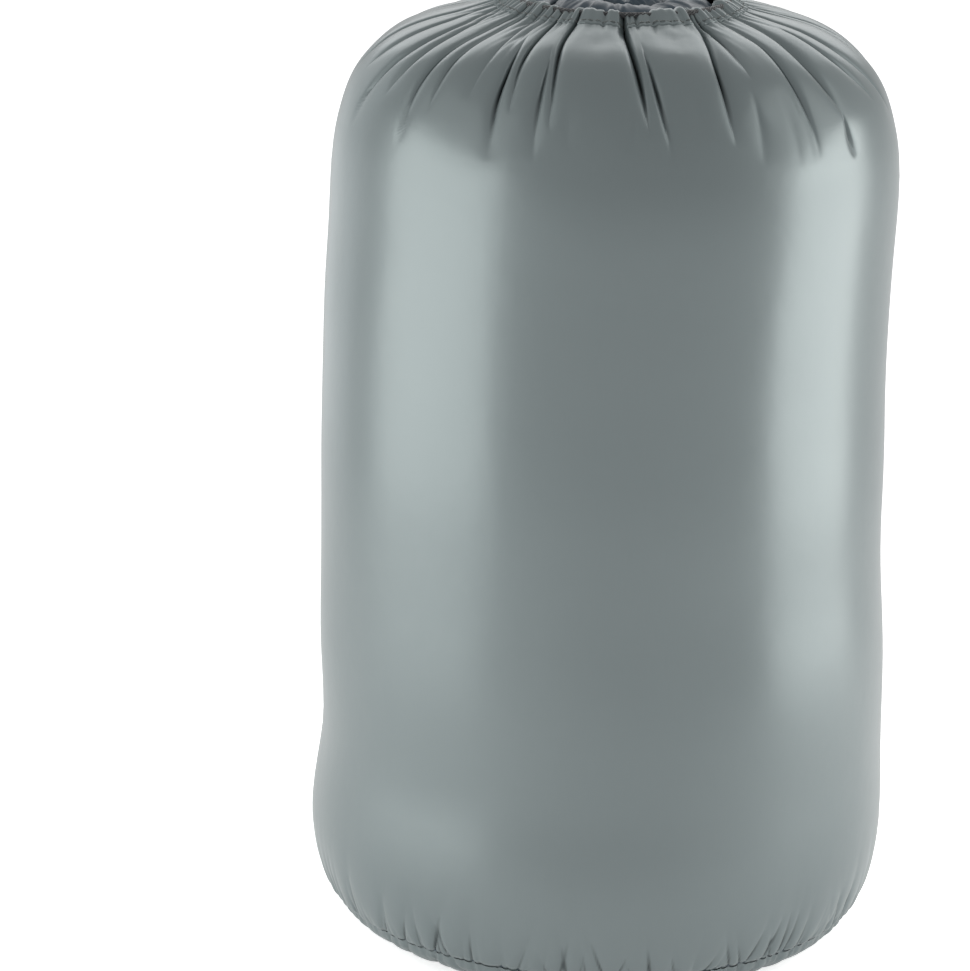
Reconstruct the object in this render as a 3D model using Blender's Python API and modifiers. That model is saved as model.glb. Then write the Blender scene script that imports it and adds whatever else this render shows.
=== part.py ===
"""A camp quilt packed in its drawstring stuff sack.

The quilt is folded in half, rolled about the sack's axis and stuffed. The sack is a fabric tube with a
round base panel, a felled side seam at the back (+Y), and a hem channel at the mouth. An elastic drawcord
runs round in the channel, leaves it at the side seam, and is held by a sprung cord lock.

Metres, +Z up. The origin is the middle of the base, on the ground.
"""

import math

import bmesh
import bpy
from mathutils import Matrix, Vector

# ---- Sack: outer shape -------------------------------------------------------------------------
FOOT_RADIUS = 0.075  # the flat of the base, which stands on the ground
BELLY_RADIUS = 0.1220  # widest ring
BELLY_HEIGHT = 0.065
WAIST_RADIUS = 0.1190
SHOULDER_RADIUS = 0.1190  # where the side starts to turn in
SHOULDER_HEIGHT = 0.3025
CREST_HEIGHT = 0.3916  # flat top of the shoulder
FOOT_POWER = 3.5  # superellipse powers of the two rounded ends
SHOULDER_POWER = 2.84
SEAM_SHARE = 0.457  # share of the foot's curve that belongs to the base panel
FABRIC = 0.0010  # wall of the sack's fabric solids
TURN_STEPS = 40  # facets round a turned piece

# ---- Sack: mouth and hem channel ---------------------------------------------------------------
MOUTH_RADIUS = 0.0415
RIM_RISE = 0.0068  # the folded edge above the crest
HEM_TILT = math.radians(20)
HEM_WIDTH = 0.012
HEM_FABRIC = 0.0006
TUNNEL_WIDTH = 0.0057  # part of the hem that the cord fills
EXIT_GAP = 0.018  # break in the hem at the side seam, where the cord comes out

# ---- Seams -------------------------------------------------------------------------------------
SEAM_TAPE_WIDTH = 0.008
SEAM_TAPE = 0.0008
ALLOWANCE_RADIUS = 0.0013  # the rolled seam allowance inside the base seam

# ---- Drawcord ----------------------------------------------------------------------------------
CORD = 0.0025  # diameter
CORD_SPACING = 0.0028  # between the two strands in the lock
CORD_SIDES = 2  # bevel resolution
CORD_STEP = 0.0055
CORD_ALONG_HEM = 0.0031  # from the folded edge to the cord's middle

# ---- Cord lock ---------------------------------------------------------------------------------
LOCK_CLEAR = 0.008  # bare shoulder between the hem and the lock
LOCK_SLIDE = 0.010  # how far out along the cords it can be moved
LOCK_LONG = 0.022  # across the cords, along the plunger
LOCK_DEEP = 0.014  # along the cords
LOCK_THICK = 0.0105
LOCK_WALL = 0.0014
LOCK_ROUND = 0.0028
PLUNGER_FIT = 0.0003
PLUNGER_SHOWS = 0.005
PLUNGER_TRAVEL = 0.0035
SLOT_WALL = 0.0014  # plunger material beyond its slot
SPRING_SOLID = 0.0020
SPRING_RADIUS = 0.0024
SPRING_WIRE = 0.0006
SPRING_TURNS = 4

# ---- Cord end ----------------------------------------------------------------------------------
END_WIDE = 0.0084
END_THICK = 0.0056
END_LONG = 0.014
END_SOCKET = 0.007
END_INSIDE = 0.009  # how far inside the sack's side it lies

# ---- Quilt -------------------------------------------------------------------------------------
ROLL_TURNS = 5  # strip widths between the core and the sack's wall
CORE_RADIUS = 0.0008
EDGE_THICKNESS = 0.007  # the strip where it starts and ends
ROLL_EASE = 0.0015  # from the roll's side to the sack's narrowest ring, beyond their gap
QUILT_FABRIC = 0.0008
BINDING_TALL = 0.0030
MOUTH_BULGE = 0.006  # how far the roll's middle stands up in the mouth
STATIONS_PER_TURN = 18
TOP_SPANS = 4

GAP = 0.0003  # between pieces that touch
SEAM_GAP = 0.0006  # between the outsides of two panels that meet at a slant
ROLL_GAP = 0.0007  # between the roll and the sack, both of which have facets
TOP_GAP = 0.0009  # between nested layers over the strip's curved top
OVERCUT = 0.002

COLOURS = {
    "sack_fabric": ((0.30, 0.33, 0.32), 0.42, 0.0),
    "sack_seam": ((0.25, 0.28, 0.27), 0.50, 0.0),
    "quilt_fabric": ((0.045, 0.075, 0.105), 0.45, 0.0),
    "quilt_lining": ((0.16, 0.19, 0.21), 0.50, 0.0),
    "batting": ((0.82, 0.82, 0.80), 0.95, 0.0),
    "cord": ((0.05, 0.055, 0.06), 0.75, 0.0),
    "black_plastic": ((0.025, 0.026, 0.028), 0.40, 0.0),
    "spring_steel": ((0.62, 0.62, 0.62), 0.30, 1.0),
}


# ---- Scene helpers -----------------------------------------------------------------------------
def clear_scene():
    for obj in list(bpy.data.objects):
        bpy.data.objects.remove(obj)


def make_collection(name, hidden=False):
    group = bpy.data.collections.new(name)
    bpy.context.scene.collection.children.link(group)
    group.hide_render = hidden
    return group


def make_material(name):
    colour, roughness, metallic = COLOURS[name]
    material = bpy.data.materials.new(name)
    material.use_nodes = True
    shader = material.node_tree.nodes["Principled BSDF"]
    shader.inputs["Base Color"].default_value = (*colour, 1)
    shader.inputs["Roughness"].default_value = roughness
    shader.inputs["Metallic"].default_value = metallic
    material.diffuse_color = (*colour, 1)
    return material


def place(obj, group, material=None):
    """Moves obj to its collection and gives it its material."""
    for owner in list(obj.users_collection):
        owner.objects.unlink(obj)
    group.objects.link(obj)
    if material is not None:
        obj.data.materials.append(MATERIALS[material])
    return obj


def smooth(obj, angle=35):
    obj.data.shade_smooth()
    obj.data.set_sharp_from_angle(angle=math.radians(angle))
    return obj


def mesh_object(name, mesh, material):
    return place(bpy.data.objects.new(name, mesh), PARTS, material)


def cutter(obj):
    place(obj, CUTTERS)
    obj.hide_render = True
    obj.display_type = "WIRE"
    return obj


def cut(obj, tool):
    modifier = obj.modifiers.new(f"cut_{tool.name}", "BOOLEAN")
    modifier.operation = "DIFFERENCE"
    modifier.object = tool
    return obj


def box(name, size, matrix, round_by=0.0, segments=3):
    """A box of that size at a matrix, with rounded edges."""
    bpy.ops.mesh.primitive_cube_add(size=1)
    obj = bpy.context.object
    obj.name = name
    obj.data.transform(Matrix.Diagonal((*size, 1)))
    obj.matrix_world = matrix
    if round_by:
        bevel = obj.modifiers.new("round", "BEVEL")
        bevel.width = round_by
        bevel.segments = segments
    return obj


def turned(name, profile, material):
    """A profile of (radius, height), turned round +Z. It is closed unless it starts on the axis."""
    mesh = bpy.data.meshes.new(name)
    points = [(r, 0, z) for r, z in profile]
    edges = [(i, i + 1) for i in range(len(points) - 1)]
    if profile[0][0] > 0:
        edges.append((len(points) - 1, 0))
    mesh.from_pydata(points, edges, [])
    obj = mesh_object(name, mesh, material)
    screw = obj.modifiers.new("turn", "SCREW")
    screw.steps = screw.render_steps = TURN_STEPS
    screw.use_merge_vertices = True
    screw.merge_threshold = 0.00001
    screw.use_smooth_shade = True
    return obj


def tube(name, points, radius, material, closed=False):
    """A round wire or cord along the points."""
    data = bpy.data.curves.new(name, "CURVE")
    data.dimensions = "3D"
    data.bevel_depth = radius
    data.bevel_resolution = CORD_SIDES
    data.use_fill_caps = not closed
    spline = data.splines.new("POLY")
    spline.points.add(len(points) - 1)
    for target, point in zip(spline.points, points):
        target.co = (*point, 1)
    spline.use_cyclic_u = closed
    return place(bpy.data.objects.new(name, data), PARTS, material)


def plate(name, outline, half_thickness, matrix, material):
    """A flat outline, extruded both ways."""
    data = bpy.data.curves.new(name, "CURVE")
    data.dimensions = "2D"
    data.fill_mode = "BOTH"
    data.extrude = half_thickness
    spline = data.splines.new("POLY")
    spline.points.add(len(outline) - 1)
    for target, (x, y) in zip(spline.points, outline):
        target.co = (x, y, 0, 1)
    spline.use_cyclic_u = True
    obj = place(bpy.data.objects.new(name, data), PARTS, material)
    obj.matrix_world = matrix
    return obj


def smooth_curve(knots, step):
    """Points about step apart on a Catmull-Rom curve through the knots."""
    ends = [2 * knots[0] - knots[1], *knots, 2 * knots[-1] - knots[-2]]
    points = [knots[0]]
    for before, a, b, after in zip(ends, ends[1:], ends[2:], ends[3:]):
        count = max(1, round((b - a).length / step))
        for k in range(1, count + 1):
            t = k / count
            points.append(
                0.5
                * (
                    2 * a
                    + (b - before) * t
                    + (2 * before - 5 * a + 4 * b - after) * t**2
                    + (3 * a - before - 3 * b + after) * t**3
                )
            )
    return points


def bezier(corners, t):
    """The point at t on a cubic with these four corners."""
    a, b, c, d = corners
    return a * (1 - t) ** 3 + b * 3 * t * (1 - t) ** 2 + c * 3 * t**2 * (1 - t) + d * t**3


# ---- The sack's outline ------------------------------------------------------------------------
def superellipse(start, end, steps, power):
    """Points of a quarter superellipse that leaves (0, 0) level and reaches (1, 1) upright."""
    points = []
    for k in range(steps + 1):
        angle = (start + (end - start) * k / steps) * math.pi / 2
        points.append((math.sin(angle) ** (2 / power), 1 - math.cos(angle) ** (2 / power)))
    return points


def foot_points(start, end, steps):
    wide = BELLY_RADIUS - FOOT_RADIUS
    return [(FOOT_RADIUS + wide * a, BELLY_HEIGHT * b) for a, b in superellipse(start, end, steps, FOOT_POWER)]


def side_points(steps):
    """The side between the belly and the shoulder, drawn in a little at the waist."""
    points = []
    for k in range(1, steps):
        t = k / steps
        end = BELLY_RADIUS if t < 0.5 else SHOULDER_RADIUS
        radius = WAIST_RADIUS + (end - WAIST_RADIUS) * math.cos(math.pi * t) ** 2
        points.append((radius, BELLY_HEIGHT + (SHOULDER_HEIGHT - BELLY_HEIGHT) * t))
    return points


def shoulder_points(end, steps):
    """The shoulder, from the side up towards the mouth, as far as the share end of its curve."""
    wide = SHOULDER_RADIUS - MOUTH_RADIUS
    tall = CREST_HEIGHT - SHOULDER_HEIGHT
    curve = superellipse(1 - end, 1, steps, SHOULDER_POWER)
    return [(MOUTH_RADIUS + wide * a, SHOULDER_HEIGHT + tall * (1 - b)) for a, b in reversed(curve)]


def hem_point(along, across):
    """A point of the hem's section: along it from its folded edge, and across it, up from its middle."""
    return (
        MOUTH_RADIUS + along * math.cos(HEM_TILT) + across * math.sin(HEM_TILT),
        CREST_HEIGHT + RIM_RISE - along * math.sin(HEM_TILT) + across * math.cos(HEM_TILT),
    )


def inset(line, distance):
    """The line moved inwards: to the left of its own direction."""
    moved = []
    for k, (r, z) in enumerate(line):
        before, after = line[max(k - 1, 0)], line[min(k + 1, len(line) - 1)]
        across, up = after[0] - before[0], after[1] - before[1]
        length = math.hypot(across, up)
        moved.append((max(r - distance * up / length, 0.0), z + distance * across / length))
    return moved


def height_at(line, radius):
    """The height of a line that runs outwards or inwards, at a radius."""
    ordered = sorted(line)
    for (r0, z0), (r1, z1) in zip(ordered, ordered[1:]):
        if r0 <= radius <= r1 and r1 > r0:
            return z0 + (z1 - z0) * (radius - r0) / (r1 - r0)
    return ordered[0][1] if radius < ordered[0][0] else ordered[-1][1]


BASE_LINE = [(0.0, 0.0), (FOOT_RADIUS * 0.5, 0.0), *foot_points(0, SEAM_SHARE, 5)]
BODY_FOOT_LINE = foot_points(SEAM_SHARE, 1, 5)
SHOULDER_LINE = shoulder_points(0.80, 8)
HEM_START = hem_point(HEM_WIDTH + 0.003, FABRIC / 2)  # where the shoulder's fabric meets the hem
HEM_END = hem_point(TUNNEL_WIDTH + 0.0005, FABRIC / 2)
BODY_LINE = [*BODY_FOOT_LINE, *side_points(4), *SHOULDER_LINE, HEM_START, HEM_END]


# ---- Sack --------------------------------------------------------------------------------------
def build_base():
    """The round panel: flat on the ground, and turned up to the seam."""
    return turned("sack_base", [*inset(BASE_LINE, FABRIC), *reversed(BASE_LINE)], "sack_fabric")


def build_body():
    """The tube panel, from the base seam to the hem. Its lower edge stops a gap short of the base panel."""
    (r0, z0), (r1, z1) = BODY_LINE[:2]
    share = SEAM_GAP / math.hypot(r1 - r0, z1 - z0)
    first = (r0 + (r1 - r0) * share, z0 + (z1 - z0) * share)
    line = [first, *BODY_LINE[1:]]
    return turned("sack_body", [*inset(line, FABRIC), *reversed(line)], "sack_fabric")


def build_side_seam():
    """The felled seam down the back, from the shoulder to the base seam."""
    line = BODY_LINE[1:-1]
    inner, outer = inset(line, -GAP), inset(line, -GAP - SEAM_TAPE)
    upright = Matrix.Rotation(math.pi / 2, 4, "Z") @ Matrix.Rotation(math.pi / 2, 4, "X")
    return plate("side_seam", [*outer, *reversed(inner)], SEAM_TAPE_WIDTH / 2, upright, "sack_seam")


def allowance_centre():
    """The middle of the rolled seam allowance, in the corner inside the base seam."""
    inner = inset([*BASE_LINE, *BODY_FOOT_LINE[1:]], FABRIC + GAP + ALLOWANCE_RADIUS)
    return inner[len(BASE_LINE) - 1]


def build_base_allowance():
    radius, height = allowance_centre()
    bpy.ops.mesh.primitive_torus_add(
        major_radius=radius,
        minor_radius=ALLOWANCE_RADIUS,
        major_segments=TURN_STEPS,
        minor_segments=6,
        location=(0, 0, height),
    )
    obj = bpy.context.object
    obj.name = "base_seam_allowance"
    return smooth(place(obj, PARTS, "sack_seam"), 80)


def build_channel():
    """The hem: a strip folded round the cord, whose two plies take the body's edge between them."""
    cord_room = CORD / 2 + GAP
    edge_room = FABRIC / 2 + GAP
    ply = HEM_FABRIC
    fold = 0.0015
    upper = [
        (0, fold * 0.8),
        (fold, cord_room + ply),
        (TUNNEL_WIDTH - 0.0012, cord_room + ply),
        (TUNNEL_WIDTH, edge_room + ply),
        (HEM_WIDTH, edge_room + ply),
    ]
    lower_face = [
        (HEM_WIDTH, edge_room),
        (TUNNEL_WIDTH, edge_room),
        (TUNNEL_WIDTH - 0.0012, cord_room),
        (fold + 0.0003, cord_room),
        (ply, fold * 0.6),
    ]
    half = upper + lower_face
    section = half + [(s, -t) for s, t in reversed(half)]
    hem = turned("drawcord_channel", [hem_point(s, t) for s, t in reversed(section)], "sack_fabric")
    size = (EXIT_GAP, HEM_WIDTH * 3, HEM_WIDTH * 2)
    return cut(hem, cutter(box("exit_cutter", size, Matrix.Translation((0, MOUTH_RADIUS + HEM_WIDTH / 2, CREST_HEIGHT)))))


# ---- Drawcord and lock -------------------------------------------------------------------------
def resting(at, thickness):
    """(centre, forward, up) of a piece of that thickness, which lies on the side seam that far behind the axis."""
    seam = inset([*SHOULDER_LINE, HEM_START], -GAP - SEAM_TAPE)
    outer, inner = next((a, b) for a, b in zip(seam, seam[1:]) if b[0] <= at <= a[0])
    tilt = math.atan2(inner[1] - outer[1], outer[0] - inner[0])
    forward = Vector((0, math.cos(tilt), -math.sin(tilt)))
    up = Vector((0, math.sin(tilt), math.cos(tilt)))
    height = max(up.y * r + up.z * z for r, z in seam) + GAP + thickness / 2
    along = (at - height * up.y) / forward.y
    return forward * along + up * height, forward, up


LOCK_AT = hem_point(HEM_WIDTH, 0)[0] + LOCK_CLEAR + LOCK_DEEP / 2
LOCK_CENTRE, LOCK_FORWARD, LOCK_UP = resting(LOCK_AT, LOCK_THICK)
END_CENTRE, END_FORWARD, END_UP = resting(SHOULDER_RADIUS - END_INSIDE, END_THICK)

BORE_WIDE = CORD + CORD_SPACING + 2 * GAP
BORE_TALL = CORD + 2 * GAP
WELL_DEEP = LOCK_DEEP - 2 * LOCK_WALL
WELL_THICK = LOCK_THICK - 2 * LOCK_WALL
SPRING_ROOM = PLUNGER_TRAVEL + SPRING_SOLID
SLOT_LONG = BORE_WIDE + PLUNGER_TRAVEL
# Along the plunger, from the cords' middle: the plunger's inner end, then the barrel's two ends.
PLUNGER_INNER = -BORE_WIDE / 2 - SLOT_WALL
BARREL_CLOSED = PLUNGER_INNER - SPRING_ROOM - LOCK_WALL
BARREL_OPEN = BARREL_CLOSED + LOCK_LONG
PLUNGER_OUTER = BARREL_OPEN + PLUNGER_SHOWS


def lock_matrix(x=0.0, along=0.0, up=0.0):
    """A place in the lock's own frame: X along the plunger, Y along the cords, Z off the shoulder."""
    matrix = Matrix((Vector((1, 0, 0)), LOCK_FORWARD, LOCK_UP)).transposed().to_4x4()
    matrix.translation = LOCK_CENTRE + Vector((x, 0, 0)) + LOCK_FORWARD * along + LOCK_UP * up
    return matrix


def build_lock_barrel():
    middle = (BARREL_CLOSED + BARREL_OPEN) / 2
    barrel = box("cord_lock_barrel", (LOCK_LONG, LOCK_DEEP, LOCK_THICK), lock_matrix(middle), LOCK_ROUND)
    place(barrel, PARTS, "black_plastic")
    well_long = LOCK_LONG - LOCK_WALL + OVERCUT
    well_middle = BARREL_CLOSED + LOCK_WALL + well_long / 2
    well_round = LOCK_ROUND - LOCK_WALL
    well = box("well_cutter", (well_long, WELL_DEEP, WELL_THICK), lock_matrix(well_middle), well_round, 2)
    bore = box("bore_cutter", (BORE_WIDE, LOCK_DEEP + 2 * OVERCUT, BORE_TALL), lock_matrix(), BORE_TALL * 0.3, 2)
    cut(cut(barrel, cutter(well)), cutter(bore))
    return smooth(barrel)


def build_lock_plunger():
    size = (PLUNGER_OUTER - PLUNGER_INNER, WELL_DEEP - 2 * PLUNGER_FIT, WELL_THICK - 2 * PLUNGER_FIT)
    middle = (PLUNGER_OUTER + PLUNGER_INNER) / 2
    plunger = box("cord_lock_plunger", size, lock_matrix(middle), LOCK_ROUND - LOCK_WALL, 2)
    place(plunger, PARTS, "black_plastic")
    slot_middle = -BORE_WIDE / 2 + SLOT_LONG / 2
    slot = box("slot_cutter", (SLOT_LONG, LOCK_DEEP, BORE_TALL), lock_matrix(slot_middle), BORE_TALL * 0.3, 2)
    cut(plunger, cutter(slot))
    return smooth(plunger)


def build_lock_spring():
    """A coil between the closed end of the barrel and the plunger."""
    start = BARREL_CLOSED + LOCK_WALL + SPRING_WIRE / 2 + GAP
    length = SPRING_ROOM - SPRING_WIRE - 2 * GAP
    steps = SPRING_TURNS * 12
    points = []
    for k in range(steps + 1):
        angle = 2 * math.pi * SPRING_TURNS * k / steps
        x = start + length * k / steps
        points.append(
            lock_matrix(x, SPRING_RADIUS * math.cos(angle), SPRING_RADIUS * math.sin(angle)).translation.copy()
        )
    return tube("cord_lock_spring", points, SPRING_WIRE / 2, "spring_steel")


def strand_points():
    """One strand's own points, from the channel's end, through the lock, into the cord end."""
    ring_radius, ring_height = hem_point(CORD_ALONG_HEM, 0)
    aside = Vector((CORD_SPACING / 2, 0, 0))
    reach = LOCK_DEEP / 2 + 0.002
    entry = LOCK_CENTRE - LOCK_FORWARD * reach + aside
    leave = LOCK_CENTRE + LOCK_FORWARD * (reach + LOCK_SLIDE) + aside
    mouth = END_CENTRE - END_FORWARD * (END_LONG / 2 + 0.001) + aside
    bottom = END_CENTRE + END_FORWARD * (END_SOCKET - END_LONG / 2 - GAP * 2) + aside
    start = [
        Vector((0.0075, ring_radius - 0.0004, ring_height + 0.0002)),
        Vector((0.0045, ring_radius + 0.0014, ring_height + 0.0009)),
        Vector((0.0024, ring_radius + 0.0048, ring_height + 0.0021)),
        entry,
    ]
    handle = (mouth - leave).length * 0.45
    corners = (leave, leave + LOCK_FORWARD * handle, mouth - END_FORWARD * handle, mouth)
    bend = [bezier(corners, k / 6) for k in range(7)]
    return [*smooth_curve(start, CORD_STEP), LOCK_CENTRE + aside, *bend, bottom]


def build_drawcord():
    """One cord: in from the cord end through the lock, round in the channel, and back out beside itself."""
    ring_radius, ring_height = hem_point(CORD_ALONG_HEM, 0)
    strand = strand_points()
    first = math.acos(0.0105 / ring_radius)
    sweep = math.pi + 2 * first
    steps = round(sweep * ring_radius / CORD_STEP)
    ring = []
    for k in range(steps + 1):
        angle = first - sweep * k / steps
        ring.append(Vector((ring_radius * math.cos(angle), ring_radius * math.sin(angle), ring_height)))
    mirrored = [Vector((-p.x, p.y, p.z)) for p in strand]
    return tube("drawcord", [*reversed(strand), *ring, *mirrored], CORD / 2, "cord")


def build_cord_end():
    """The moulded end that both strands are fixed in."""
    frame = Matrix((Vector((1, 0, 0)), END_FORWARD, END_UP)).transposed().to_4x4()
    frame.translation = END_CENTRE
    body = box("cord_end", (END_WIDE, END_LONG, END_THICK), frame, 0.0018)
    place(body, PARTS, "black_plastic")
    for side in (-1, 1):
        bpy.ops.mesh.primitive_cylinder_add(vertices=16, radius=CORD / 2 + GAP, depth=END_SOCKET + OVERCUT)
        socket = bpy.context.object
        socket.name = f"socket_cutter_{'left' if side < 0 else 'right'}"
        reach = -END_LONG / 2 + (END_SOCKET - OVERCUT) / 2
        socket.matrix_world = (
            frame @ Matrix.Translation((side * CORD_SPACING / 2, reach, 0)) @ Matrix.Rotation(math.pi / 2, 4, "X")
        )
        cut(body, cutter(socket))
    return smooth(body)


# ---- Quilt -------------------------------------------------------------------------------------
ROLL_RADIUS = min(WAIST_RADIUS, SHOULDER_RADIUS, BELLY_RADIUS) - FABRIC - ROLL_GAP - ROLL_EASE
STRIP = ROLL_RADIUS / ROLL_TURNS
INNER_FOOT = inset([*BASE_LINE, *BODY_FOOT_LINE[1:]], FABRIC + ROLL_GAP)
INNER_SHOULDER = inset([*SHOULDER_LINE, HEM_START], FABRIC + ROLL_GAP)


def mouth_bulge(steps):
    """The roll's domed middle, from under the hem in to the axis."""
    edge, height = INNER_SHOULDER[-1]
    shares = [1 - k / steps for k in range(1, steps + 1)]
    return [(edge * t, height + MOUTH_BULGE * (1 - t**2) ** 2) for t in shares]


ROLL_LINE = [*INNER_SHOULDER, *mouth_bulge(8)]


def roll_foot(far):
    """The height that a leg out to a radius starts from: on the base, or above the seam allowance."""
    ring, height = allowance_centre()
    foot = height_at(INNER_FOOT, far)
    below = far < ring - ALLOWANCE_RADIUS - 2 * GAP - STRIP / STATIONS_PER_TURN
    return foot if below else max(foot, height + ALLOWANCE_RADIUS + 2 * GAP)


def strip_stations():
    """(angle, inner radius, outer radius) along the rolled strip, which is thin at both ends."""
    first = math.ceil(EDGE_THICKNESS / STRIP * STATIONS_PER_TURN)
    last = math.floor(((ROLL_RADIUS - EDGE_THICKNESS) / STRIP + 1) * STATIONS_PER_TURN)
    for k in range(first, last + 1):
        turn = k / STATIONS_PER_TURN
        inner = max(STRIP * (turn - 1), CORE_RADIUS)
        yield 2 * math.pi * turn, inner, min(STRIP * turn, ROLL_RADIUS)


def folded(inner, outer, from_face, to_face, from_top):
    """The section of one layer of the folded strip: an arch between two depths from its faces and its top."""

    def arch(depth, below):
        low, high = inner + depth, outer - depth
        line = inset(ROLL_LINE, below)
        radii = [low + (high - low) * math.sin(math.pi / 2 * k / TOP_SPANS) for k in range(TOP_SPANS + 1)]
        return [(r, height_at(line, r)) for r in radii]

    outside = arch(from_face, from_top)
    inside = arch(to_face, from_top + to_face - from_face)
    near_foot = roll_foot((inner + outer) / 2) + FOOT_RISE
    far_foot = roll_foot(outer) + FOOT_RISE
    section = [(outside[0][0], near_foot), *outside, (outside[-1][0], far_foot)]
    return [*section, (inside[-1][0], far_foot), *reversed(inside), (inside[0][0], near_foot)]


def swept(name, section_at, material):
    """A solid that sweeps a changing section along the rolled strip, with flat ends."""
    shape = bmesh.new()
    rings = []
    for angle, inner, outer in strip_stations():
        turn = Matrix.Rotation(angle, 3, "Z")
        rings.append([shape.verts.new(turn @ Vector((r, 0, z))) for r, z in section_at(inner, outer)])
    for before, after in zip(rings, rings[1:]):
        for k in range(len(before)):
            j = (k + 1) % len(before)
            shape.faces.new((before[k], before[j], after[j], after[k]))
    shape.faces.new(rings[0])
    shape.faces.new(rings[-1])
    bmesh.ops.recalc_face_normals(shape, faces=shape.faces)
    mesh = bpy.data.meshes.new(name)
    shape.to_mesh(mesh)
    shape.free()
    return smooth(mesh_object(name, mesh, material), 50)


FACE_GAP = GAP  # each strip face to its neighbour's
FILL_DEPTH = FACE_GAP + QUILT_FABRIC + GAP
FOOT_RISE = BINDING_TALL + GAP


def build_quilt():
    """Shell, batting and lining, nested as one fold with its fold up, and the two bound edges below."""

    fill_top = QUILT_FABRIC + TOP_GAP

    def shell(inner, outer):
        return folded(inner, outer, FACE_GAP, FACE_GAP + QUILT_FABRIC, 0)

    def batting(inner, outer):
        return folded(inner, outer, FILL_DEPTH, (outer - inner) / 2 - 2 * GAP - QUILT_FABRIC, fill_top)

    def lining(inner, outer):
        half = (outer - inner) / 2
        depth = half - QUILT_FABRIC - GAP
        return folded(inner, outer, depth, half - GAP, fill_top + depth - GAP - FILL_DEPTH + TOP_GAP)

    def binding(inner_half):
        def section(inner, outer):
            middle = (inner + outer) / 2
            near, far = (inner + FACE_GAP, middle - GAP) if inner_half else (middle + GAP, outer - FACE_GAP)
            foot = roll_foot(middle if inner_half else outer)
            return [(near, foot), (far, foot), (far, foot + BINDING_TALL), (near, foot + BINDING_TALL)]

        return section

    swept("quilt_shell", shell, "quilt_fabric")
    swept("quilt_insulation", batting, "batting")
    swept("quilt_lining", lining, "quilt_lining")
    swept("quilt_head_binding", binding(True), "quilt_fabric")
    swept("quilt_foot_binding", binding(False), "quilt_fabric")


clear_scene()
PARTS = make_collection("camp_quilt")
CUTTERS = make_collection("cutters", hidden=True)
MATERIALS = {name: make_material(name) for name in COLOURS}

build_base()
build_body()
build_side_seam()
build_base_allowance()
build_channel()
build_lock_barrel()
build_lock_plunger()
build_lock_spring()
build_drawcord()
build_cord_end()
build_quilt()
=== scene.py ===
"""Looks of a camp quilt packed in its drawstring stuff sack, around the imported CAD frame.

The sack's fabric is one surface of azimuth and distance down from the rim. The drawcord's gathers are creases
in that surface, and the hem, the side seam and the stitches follow it. Metres, +Z up, front towards -Y.
"""
import math

import bpy
import numpy as np
from mathutils import Matrix, Vector


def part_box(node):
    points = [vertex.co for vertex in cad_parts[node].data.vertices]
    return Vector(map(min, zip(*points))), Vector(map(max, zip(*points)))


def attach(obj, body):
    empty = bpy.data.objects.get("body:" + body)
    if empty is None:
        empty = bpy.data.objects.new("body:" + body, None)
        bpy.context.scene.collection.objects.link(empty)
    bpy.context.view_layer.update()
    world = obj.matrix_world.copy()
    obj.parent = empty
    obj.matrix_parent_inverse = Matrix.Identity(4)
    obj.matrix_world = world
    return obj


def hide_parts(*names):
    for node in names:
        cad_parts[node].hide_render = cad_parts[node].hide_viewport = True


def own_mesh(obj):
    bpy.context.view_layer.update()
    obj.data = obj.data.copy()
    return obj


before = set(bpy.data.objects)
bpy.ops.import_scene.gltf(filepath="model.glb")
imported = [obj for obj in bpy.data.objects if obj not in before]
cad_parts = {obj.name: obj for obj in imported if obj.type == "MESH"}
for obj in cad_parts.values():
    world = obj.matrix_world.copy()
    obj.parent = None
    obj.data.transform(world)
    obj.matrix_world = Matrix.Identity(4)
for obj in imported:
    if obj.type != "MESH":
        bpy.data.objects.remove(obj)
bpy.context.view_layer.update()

MM = 0.001
TURN = 2 * math.pi


# ---- Sizes that follow the CAD part ----
FOOT_RADIUS = 0.075
BELLY_RADIUS = 0.1220
BELLY_HEIGHT = 0.065
WAIST_RADIUS = 0.1190
SHOULDER_RADIUS = 0.1190
SHOULDER_HEIGHT = 0.3025
CREST_HEIGHT = 0.3916
FOOT_POWER = 3.5  # superellipse powers of the two rounded ends
SHOULDER_POWER = 2.84
MOUTH_RADIUS = 0.0415
RIM_RISE = 0.0068
HEM_TILT = math.radians(20)
HEM_WIDTH = 0.012
EXIT_GAP = 0.018
SEAM_TAPE_WIDTH = 0.008
CORD = 0.0025
CORD_SPACING = 0.0028
CORD_ALONG_HEM = 0.0031
CORD_STEP = 0.0055
RING_START = 0.0105  # from the side seam's middle to where the cord joins its ring in the hem
LOCK_SLIDE = 0.010
LOCK_LONG = 0.022
LOCK_DEEP = 0.014
LOCK_THICK = 0.0105
LOCK_TILT = math.radians(14.93)
END_LONG = 0.014
END_THICK = 0.0056
END_SOCKET = 0.007
END_TILT = math.radians(65.26)
GAP = 0.0003


# ---- Sizes of the drawn pieces ----
SEAM_SHARE = 0.515  # share of the foot's curve that is base panel, a little more than in the CAD
DEEPEST_CREASE = 7.0 * MM
SEAM_ROW = 2.6 * MM  # from the side seam's middle to each row of its stitches
YARN = 0.00028
WEAVE_DEPTH = 0.000003
ROLL_RADIUS = 0.1140
ROLL_TURNS = 5
STRIP = ROLL_RADIUS / ROLL_TURNS  # thickness of one turn, which is the quilt folded in half
EDGE_THICKNESS = 0.007  # where the roll's two ends start
CLEAR_OF_CREASES = 9.5 * MM  # from the shoulder's outline down to the quilt
SPRING_TURNS = 5


def hem_point(along, across):
    """A point of the hem's section: along it from its folded edge, and across it, up from its middle."""
    return (
        MOUTH_RADIUS + along * math.cos(HEM_TILT) + across * math.sin(HEM_TILT),
        CREST_HEIGHT + RIM_RISE - along * math.sin(HEM_TILT) + across * math.cos(HEM_TILT),
    )


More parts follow.
